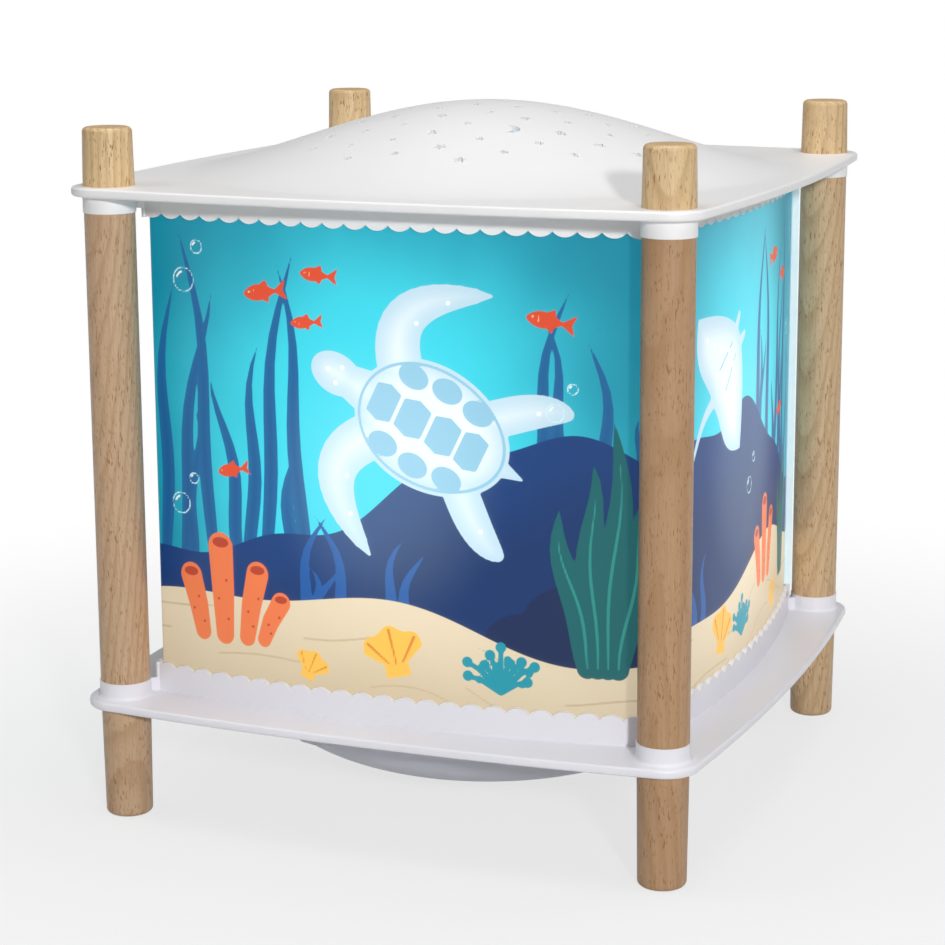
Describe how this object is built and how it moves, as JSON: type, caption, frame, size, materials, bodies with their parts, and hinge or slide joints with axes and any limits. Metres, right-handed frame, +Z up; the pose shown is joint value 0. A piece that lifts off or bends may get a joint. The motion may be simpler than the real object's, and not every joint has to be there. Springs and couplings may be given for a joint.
{
  "type": "rotating motion lamp",
  "caption": "Square motion lantern: wooden corner posts, white deck and domed cover with star holes, printed film sleeve, and a printed drum that turns inside round a lamp.",
  "frame": {"origin": "on the table below the middle of the lantern", "axes": "+Z up, -Y towards the face that is shown in front, +X to its right; the posts stand at the four corners"},
  "size_m": [0.202, 0.202, 0.2143],
  "materials": {
    "white_plastic": "satin",
    "grey_plastic": "fine satin",
    "beech": "sanded, lightly oiled",
    "pale_beech": "sanded, lightly oiled",
    "brass": "turned",
    "steel": "zinc plated",
    "printed_film": "printed translucent film",
    "drum_film": "printed translucent film",
    "clear_strip": "clear",
    "bearing_plastic": "natural acetal",
    "board": "solder mask",
    "led": "phosphor",
    "diffuser": "frosted",
    "lead": "insulated wire",
    "motor_case": "drawn",
    "speaker_paper": "paper and ferrite",
    "black_plastic": "moulded"
  },
  "bodies": {
    "root": {"base_deck": "white_plastic", "top_cover": "white_plastic", "post_front_left": "beech", "post_front_right": "beech", "post_back_right": "beech", "post_back_left": "beech", "knob_front_left": "pale_beech", "knob_front_right": "pale_beech", "knob_back_right": "pale_beech", "knob_back_left": "pale_beech", "foot_front_left": "beech", "foot_front_right": "beech", "foot_back_right": "beech", "foot_back_left": "beech", "thread_inserts": "brass", "upper_studs": "steel", "lower_studs": "steel", "film_sleeve": "printed_film", "sleeve_seam_strip": "clear_strip", "base_pan": "grey_plastic", "pan_screws": "steel", "centre_column": "white_plastic", "column_screws": "steel", "thrust_washer": "bearing_plastic", "retaining_clip": "steel", "lamp_holder": "white_plastic", "led_board": "board", "led_chips": "led", "light_diffuser": "diffuser", "led_leads": "lead", "gear_motor": "motor_case", "motor_screws": "steel", "motor_leads": "lead", "speaker_basket": "motor_case", "speaker_cone": "speaker_paper", "speaker_magnet": "speaker_paper", "speaker_leads": "lead", "circuit_board": "board", "board_components": "black_plastic", "board_screws": "steel", "power_socket": "black_plastic", "switch_body": "black_plastic"},
    "drum": {"turntable": "white_plastic", "hub_bush": "bearing_plastic", "ring_gear": "bearing_plastic", "gear_screws": "steel", "drum_film": "drum_film", "drum_top_ring": "white_plastic"},
    "pinion": {"motor_shaft": "steel", "drive_pinion": "bearing_plastic"},
    "slider": {"switch_slider": "white_plastic"}
  },
  "joints": [
    {"name": "drum_spin", "type": "hinge", "parent": "root", "child": "drum", "pos_m": [0, 0, 0.05], "axis": [0, 0, 1], "continuous": true},
    {"name": "pinion_spin", "type": "hinge", "parent": "root", "child": "pinion", "pos_m": [0.036, 0, 0.047], "axis": [0, 0, 1], "continuous": true},
    {"name": "switch_slide", "type": "slide", "parent": "root", "child": "slider", "axis": [0.9397, -0.342, 0], "range_m": [0, 0.004]}
  ],
  "couplings": [
    {"joint": "pinion_spin", "follows": "drum_spin", "ratio": -5}
  ]
}
